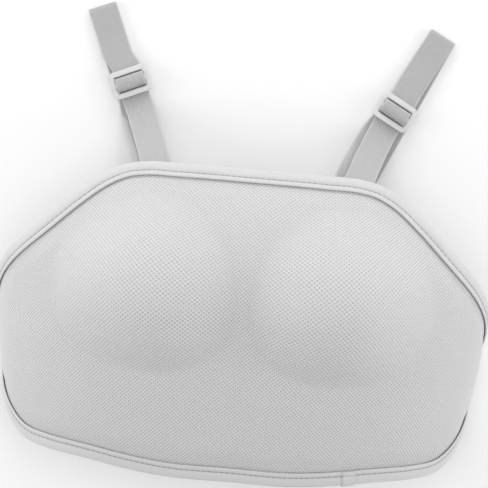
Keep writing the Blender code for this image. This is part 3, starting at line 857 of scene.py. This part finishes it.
def strap_knots(plan):
    """Knots of centre point and side direction along one strap, from the sewn end to the back end."""
    turn = math.radians(plan["turn"])
    ahead = np.array([-math.sin(turn), math.cos(turn), 0.0])
    across = np.array([math.cos(turn), math.sin(turn), 0.0])
    slider = np.array([*plan["slider"], 0.0])
    fold_turn = math.radians(plan["fold_turn"])
    fold_ahead = np.array([-math.sin(fold_turn), math.cos(fold_turn), 0.0])
    fold_across = np.array([math.cos(fold_turn), math.sin(fold_turn), 0.0])
    fold = np.array([*plan["fold"], 0.0])
    edge = np.array([*plan["edge"], 0.0])
    up = np.array([0.0, 0.0, 1.0])

    def by_slider(toward_panel, z, step=0.0):
        return slider - ahead * toward_panel + up * z + across * step, across

    lean = edge - slider
    lean /= np.linalg.norm(lean)
    seat = edge + lean * LOOP_BACK
    seat_share = share_at(seat[0], seat[1])
    loop_origin = shell(seat_share, seat[1])
    loop_up = normals(shell, seat_share, np.asarray(seat[1]))
    loop_along = -lean - loop_up * np.dot(-lean, loop_up)
    loop_along /= np.linalg.norm(loop_along)
    loop_across = np.cross(loop_along, loop_up)

    def by_loop(toward_edge, depth, step=0.0):
        point = loop_origin + loop_along * toward_edge - loop_up * depth + loop_across * step
        return point, loop_across

    rim_low = by_loop(LOOP_BACK, LOOP_FACE)[0]

    def between(share, height, sink, step):
        """Point between slider (0) and panel edge (1), at a share of the drop."""
        point = slider - ahead * FRAME_HALF
        plan_point = point * (1 - share) + np.array([rim_low[0], rim_low[1], 0]) * share
        z = sink + (rim_low[2] - 2.5 * STRAP_THICK - sink) * height
        blend = across * (1 - share) + loop_across * share
        return plan_point + up * z + blend * step, blend

    step = plan["step"]
    bend = 1.05 * WRAP
    wide = OUTER_TOP - FRAME_TOP
    low_run = LOOP_BAR_LOW + bend
    high_run = LOOP_BAR_TOP - bend
    knots = [
        by_slider(INNER_OUT, FRAME_TOP - 0.85 * SLIDER_THICK),
        by_slider(INNER_OUT, FRAME_TOP),
        by_slider(BAR_HALF + 0.72 * WRAP, FRAME_TOP + 0.72 * WRAP),
        by_slider(BAR_HALF, INNER_TOP),
        by_slider(-BAR_HALF, INNER_TOP),
        by_slider(-BAR_HALF - 0.72 * WRAP, FRAME_TOP + 0.72 * WRAP),
        by_slider(-INNER_OUT, FRAME_TOP),
        by_slider(-INNER_OUT, FRAME_Z),
        by_slider(-BAR_HALF - 0.72 * WRAP, FRAME_Z - 0.72 * WRAP),
        by_slider(-BAR_HALF, FRAME_Z - WRAP),
        by_slider(0.0, FRAME_Z - WRAP - 1.3 * GAP),
        by_slider(FRAME_HALF * 0.55, UNDER_Z + 0.7 * GAP, step * 0.1),
        by_slider(FRAME_HALF, UNDER_Z, step * 0.35),
        between(0.16, 0.02, UNDER_Z, step * 0.6),
        between(0.34, 0.14, UNDER_Z, step * 0.75),
        between(0.52, 0.36, UNDER_Z, step * 0.85),
        between(0.72, 0.66, UNDER_Z, step * 0.95),
        by_loop(LOOP_BACK + 2.1 * STRAP_THICK, low_run + 1.6 * STRAP_THICK, step),
        by_loop(LOOP_BACK * 0.72, low_run + 0.36 * STRAP_THICK, step * 0.6),
        by_loop(LOOP_SLOT + LOOP_BAR, low_run),
        by_loop(LOOP_SLOT, low_run),
        by_loop(LOOP_SLOT - 0.72 * bend, LOOP_BAR_LOW + 0.72 * bend),
        by_loop(LOOP_SLOT - bend, LOOP_BAR_LOW),
        by_loop(LOOP_SLOT - bend, LOOP_BAR_TOP),
        by_loop(LOOP_SLOT - 0.72 * bend, LOOP_BAR_TOP - 0.72 * bend),
        by_loop(LOOP_SLOT, high_run),
        by_loop(LOOP_SLOT + LOOP_BAR, high_run),
        by_loop(LOOP_BACK * 0.72, high_run + 0.43 * STRAP_THICK),
        by_loop(LOOP_BACK + 2.1 * STRAP_THICK, high_run + 1.6 * STRAP_THICK),
        between(0.72, 0.72, FRONT_Z, 0),
        between(0.52, 0.42, FRONT_Z, 0),
        between(0.34, 0.18, FRONT_Z, 0),
        between(0.16, 0.03, FRONT_Z, 0),
        by_slider(FRAME_HALF, FRONT_Z),
    ]
    over = (
        (OUTER_OUT + 1.80 * STRAP_THICK, FRONT_Z), (OUTER_OUT + 1.07 * STRAP_THICK, FRONT_Z),
        (OUTER_OUT + 0.50 * STRAP_THICK, FRONT_Z + 0.36 * STRAP_THICK),
        (OUTER_OUT + 0.14 * STRAP_THICK, FRONT_Z + 0.93 * STRAP_THICK),
        (OUTER_OUT, FRONT_Z + 1.64 * STRAP_THICK), (OUTER_OUT, FRAME_TOP),
        (BAR_HALF + 0.72 * wide, FRAME_TOP + 0.72 * wide), (BAR_HALF, OUTER_TOP),
    )
    knots += [by_slider(along, z) for along, z in over]
    knots += [by_slider(-along, z) for along, z in over[::-1]]
    knots.append(by_slider(-FRAME_HALF, FRONT_Z))
    fold_z = RUN_Z + 1.93 * STRAP_THICK
    start = slider + ahead * FRAME_HALF
    reach = np.linalg.norm(fold - start)
    for share, z in ((0.25, (FRONT_Z + fold_z) / 2), (0.5, fold_z), (0.9, fold_z)):
        along = fold - fold_ahead * reach * (1 - share)
        blend = across * (1 - share) + fold_across * share
        knots.append((along + up * z, blend))
    bulge = (fold_z - RUN_Z) / 2
    centre = fold - fold_ahead * (bulge + HALF) + up * (RUN_Z + bulge)
    for out, rise in ((0.0, 1.0), (0.71, 0.71), (1.0, 0.0), (0.71, -0.71), (0.0, -1.0)):
        knots.append((centre + fold_ahead * out * bulge + up * rise * bulge, fold_across))
    band_top = BAND_LEVEL + BAND_WIDTH / 2
    end = np.array([plan["end"], BAND_LEVEL - BAND_WIDTH / 4, 0.0])
    back = end - fold
    back_across = np.array([-back[1], back[0], 0.0]) / np.linalg.norm(back)
    on_band = BAND_THICK + GAP + HALF
    first = 4.3 * STRAP_THICK / np.linalg.norm(back)
    lift = (fold[1] - band_top - 9.5 * BAND_THICK) / (fold[1] - end[1])
    land = (fold[1] - band_top - 3.25 * BAND_THICK) / (fold[1] - end[1])
    on_table = ((first, RUN_Z), (0.05, RUN_Z), (lift * 0.98, RUN_Z), (lift, RUN_Z))
    for share, z in on_table + ((land, on_band), (1.0, on_band)):
        knots.append((fold + back * share + up * z, back_across))
    slider_place = (slider + up * (FRAME_Z + SLIDER_THICK / 2), across, ahead, up)
    return knots, slider_place


def webbing_section(width, thick):
    """Closed section of a strip of webbing: place across and height, with rounded edges."""
    half = width / 2
    rows = [(-half, 0.0), (-half + 0.0002, -0.32), (-half + 0.0007, -0.52), (-half + 0.0016, -0.52)]
    rows += [(half * k / 4, -0.5) for k in (-2, 0, 2)]
    rows += [(half - 0.0016, -0.52), (half - 0.0007, -0.52), (half - 0.0002, -0.32), (half, 0.0)]
    rows += [(x, -z) for x, z in rows[::-1][1:-1]]
    return [(x, z * thick) for x, z in rows]


def face_outward(mesh):
    """Turn the faces of a closed mesh outwards."""
    build = bmesh.new()
    build.from_mesh(mesh)
    bmesh.ops.recalc_face_normals(build, faces=build.faces)
    build.to_mesh(mesh)
    build.free()


def webbing(name, knots, width, thick, paint, node, pieces=6):
    """Strip of webbing with a rounded section swept through its knots."""
    centres = np.array([knot[0] for knot in knots], float)
    sides = np.array([knot[1] for knot in knots], float)
    sides /= np.linalg.norm(sides, axis=1, keepdims=True)
    length = np.concatenate([[0], np.cumsum(np.linalg.norm(np.diff(centres, axis=0), axis=1))])
    spans = [np.linspace(length[k], length[k + 1], pieces + 1)[:-1] for k in range(len(length) - 1)]
    at = np.append(np.concatenate(spans), length[-1])
    centre = np.stack([smooth(list(zip(length, centres[:, k])), 1, at) for k in range(3)], -1)
    centre[:, 2] = np.maximum(centre[:, 2], thick / 2)
    side = np.stack([np.interp(at, length, sides[:, k]) for k in range(3)], -1)
    side /= np.linalg.norm(side, axis=1, keepdims=True)
    ahead = np.gradient(centre, axis=0)
    ahead /= np.linalg.norm(ahead, axis=1, keepdims=True)
    up = np.cross(side, ahead)
    up /= np.linalg.norm(up, axis=1, keepdims=True)
    section = webbing_section(width, thick)
    section.append(section[0])
    rings = np.stack([centre + side * x + up * z for x, z in section], 1)
    flat = np.stack(np.broadcast_arrays(np.array([x for x, _ in section])[None, :], at[:, None]), -1)
    mesh = finish_mesh(name, [cloth_grid(name, rings, flat)], close="fill", weld=1e-6)
    face_outward(mesh)
    add_piece(name, mesh, paint, node)
    return centre, side


def rounded(width, height, radius, steps=8):
    """Corner points of a rounded rectangle."""
    points = []
    for corner in range(4):
        sx = (1, -1, -1, 1)[corner]
        sy = (1, 1, -1, -1)[corner]
        for k in range(steps + 1):
            angle = math.radians(90 * corner + 90 * k / steps)
            x = sx * (width / 2 - radius) + radius * math.cos(angle)
            y = sy * (height / 2 - radius) + radius * math.sin(angle)
            points.append((x, y))
    return points


def add_slider(side, place):
    """Moulded slider with two slots, soft edges and a middle bar between them."""
    name = f"strap_slider_{side}"
    curve = bpy.data.curves.new(name, "CURVE")
    curve.dimensions = "2D"
    curve.fill_mode = "BOTH"
    curve.bevel_depth = SLIDER_SOFT
    curve.bevel_resolution = 4
    curve.extrude = SLIDER_THICK / 2 - SLIDER_SOFT
    slot = SLIDER_LENGTH / 2 - SLIDER_END - BAR_HALF
    centre = BAR_HALF + slot / 2
    outer = rounded(SLIDER_WIDTH - 2 * SLIDER_SOFT, SLIDER_LENGTH - 2 * SLIDER_SOFT, SLIDER_CORNER)
    inner_width = SLIDER_WIDTH - 2 * SLIDER_SIDE + 2 * SLIDER_SOFT
    inner = rounded(inner_width, slot + 2 * SLIDER_SOFT, SLOT_CORNER, 4)
    for points, shift in ((outer, 0), (inner, centre), (inner, -centre)):
        spline = curve.splines.new("POLY")
        spline.points.add(len(points) - 1)
        for point, (x, y) in zip(spline.points, points):
            point.co = (x, y + shift, 0, 1)
        spline.use_cyclic_u = True
    form = bpy.data.objects.new(name, curve)
    scene.collection.objects.link(form)
    graph = bpy.context.evaluated_depsgraph_get()
    flat_mesh = bpy.data.meshes.new_from_object(form.evaluated_get(graph))
    bpy.data.objects.remove(form)
    origin, across, ahead, up = place
    turn = Matrix([Vector(across), Vector(ahead), Vector(up)]).transposed().to_4x4()
    flat_mesh.transform(Matrix.Translation(Vector(origin + PLACE)) @ turn)
    mesh = finish_mesh(name, [flat_mesh], weld=1e-5)
    face_outward(mesh)
    mesh.set_sharp_from_angle(angle=math.radians(50))
    add_piece(name, mesh, SLIDER, f"slider_{side}")


def tack_box(centre, across, along, width, length):
    """Stitch spans of a sewn rectangle with its diagonals, lying on a face."""
    corners = [(-1, -1), (1, -1), (1, 1), (-1, 1)]
    lines = [(corners[k], corners[(k + 1) % 4]) for k in range(4)]
    lines += [(corners[0], corners[2]), (corners[1], corners[3])]
    spans = []
    for (ax, ay), (bx, by) in lines:
        start = centre + across * ax * width / 2 + along * ay * length / 2
        end = centre + across * bx * width / 2 + along * by * length / 2
        count = max(2, int(np.linalg.norm(end - start) / TACK_PITCH))
        for k in range(count):
            low = start + (end - start) * (k + 0.12) / count
            high = start + (end - start) * (k + 0.88) / count
            spans.append((low, high))
    return spans


tacks = []
for strap_side, plan in STRAPS.items():
    knots, slider_place = strap_knots(plan)
    strap_node = f"strap_{strap_side}"
    centre, side = webbing(f"webbing_{strap_side}", knots, STRAP_WIDTH, STRAP_THICK, STRAP, strap_node)
    add_slider(strap_side, slider_place)
    tail = centre[-1]
    back = centre[-2] - tail
    back /= np.linalg.norm(back)
    flat_up = np.array([0.0, 0.0, 1.0])
    seat = tail + back * STRAP_TACK["inset"] + flat_up * (HALF + TACK_LIFT)
    box = tack_box(seat, side[-1], back, STRAP_TACK["width"], STRAP_TACK["length"])
    tacks.append((f"strap_tack_{strap_side}", box, strap_node))

# Moulded loops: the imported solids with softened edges
for strap_side in STRAPS:
    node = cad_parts[f"strap_loop_{strap_side}"]
    weld = node.modifiers.new("weld", "WELD")
    weld.merge_threshold = 0.00002
    soft = node.modifiers.new("soft edges", "BEVEL")
    soft.width = LOOP_SOFT
    soft.segments = 3
    soft.limit_method = "ANGLE"
    soft.angle_limit = math.radians(40)
    for slot in node.material_slots:
        slot.material = LOOP
    if not node.material_slots:
        node.data.materials.append(LOOP)


# Back band: flat on the table, its ends turned up inside the side edges
def band_side(sign):
    """Knots from the upper end of the band down to the table on one side."""
    depth = PAD_THICK / 2 + TAPE_GAP + BAND_THICK / 2
    knots = []
    foot = shell(sign * 1.0, BAND_LEVEL)
    for rise in (BAND_RISE, BAND_RISE * 0.7, BAND_RISE * 0.4):
        share = sign * (1 - rise / HALF_ARC)
        point = offset(share, BAND_LEVEL, -depth)
        side = offset(share, BAND_LEVEL + BAND_THICK, -depth) - offset(share, BAND_LEVEL - BAND_THICK, -depth)
        knots.append((point, side))
    tilt = knots[-1][1] / np.linalg.norm(knots[-1][1])
    level_side = np.array([0.0, 1.0, 0.0])
    inner = abs(foot[0]) - depth
    for out, rise, lean in ((0.125, 2.9, 0.7), (0.5, 0.9, 0.3), (1.0, 0.5, 0.0), (1.67, 0.5, 0.0)):
        point = np.array([sign * (inner - out * BAND_TURN), BAND_LEVEL, rise * BAND_THICK])
        knots.append((point, lean * tilt + (1 - lean) * level_side))
    return knots


band_knots = band_side(-1) + band_side(1)[::-1]
centre, side = webbing("back_elastic", band_knots, BAND_WIDTH, BAND_THICK, BAND, "back_band", pieces=10)
for tag, end, sign in (("left", 0, 1), ("right", -1, -1)):
    along = centre[end + 3 * sign] - centre[end]
    along /= np.linalg.norm(along)
    face = np.cross(along, side[end])
    face *= math.copysign(1, face[0] * (1 if tag == "left" else -1))
    seat = centre[end] + along * BAND_TACK["inset"] + face * (BAND_THICK / 2 + TACK_LIFT)
    box = tack_box(seat, side[end], along, BAND_TACK["width"], BAND_TACK["length"])
    tacks.append((f"band_tack_{tag}", box, "back_band"))
for name, spans, slot in tacks:
    add_threads(name, spans, TACK_THREAD)

# Pale floor and soft studio light
build = bmesh.new()
bmesh.ops.create_grid(build, x_segments=1, y_segments=1, size=3)
bmesh.ops.translate(build, vec=(0, 0, -0.0002), verts=build.verts)
floor_mesh = bpy.data.meshes.new("studio_floor")
build.to_mesh(floor_mesh)
build.free()
floor = bpy.data.objects.new("studio_floor", floor_mesh)
scene.collection.objects.link(floor)
floor_paint, _, floor_shader = new_material("studio floor", 0.9, specular=0.1)
floor_shader.inputs["Base Color"].default_value = FLOOR_TONE
floor_mesh.materials.append(floor_paint)

# Lamps: name, place, size across and along, power in watts
LAMPS = (
    ("key", (-0.10, 1.60, 0.45), 1.2, 0.5, 11.4),
    ("fill_left", (-1.40, 0.00, 0.50), 0.9, 0.7, 6.9),
    ("fill_right", (1.40, 0.00, 0.50), 0.9, 0.7, 6.4),
    ("overhead", (0.0, 0.10, 2.00), 1.4, 1.4, 9.5),
)
for name, place, wide, tall, power in LAMPS:
    lamp = bpy.data.lights.new(name, "AREA")
    lamp.shape = "RECTANGLE"
    lamp.size = wide
    lamp.size_y = tall
    lamp.energy = power
    holder = bpy.data.objects.new(name, lamp)
    holder.location = place
    aim = Vector((0, 0, 0.05)) - Vector(place)
    holder.rotation_euler = aim.to_track_quat("-Z", "Y").to_euler()
    scene.collection.objects.link(holder)
world = bpy.data.worlds.new("studio")
world.use_nodes = True
world.node_tree.nodes["Background"].inputs["Color"].default_value = (1, 1, 1, 1)
world.node_tree.nodes["Background"].inputs["Strength"].default_value = WORLD_STRENGTH
scene.world = world
scene.view_settings.view_transform = "Standard"

# Camera straight above the table, as far as the photograph was taken from
lens = bpy.data.cameras.new("camera")
lens.sensor_width = CAMERA_SENSOR
lens.lens = CAMERA_LENS
camera = bpy.data.objects.new("camera", lens)
camera.location = CAMERA_PLACE
camera.rotation_euler = (0, 0, math.radians(CAMERA_TURN))
scene.collection.objects.link(camera)
scene.camera = camera

bpy.context.view_layer.update()
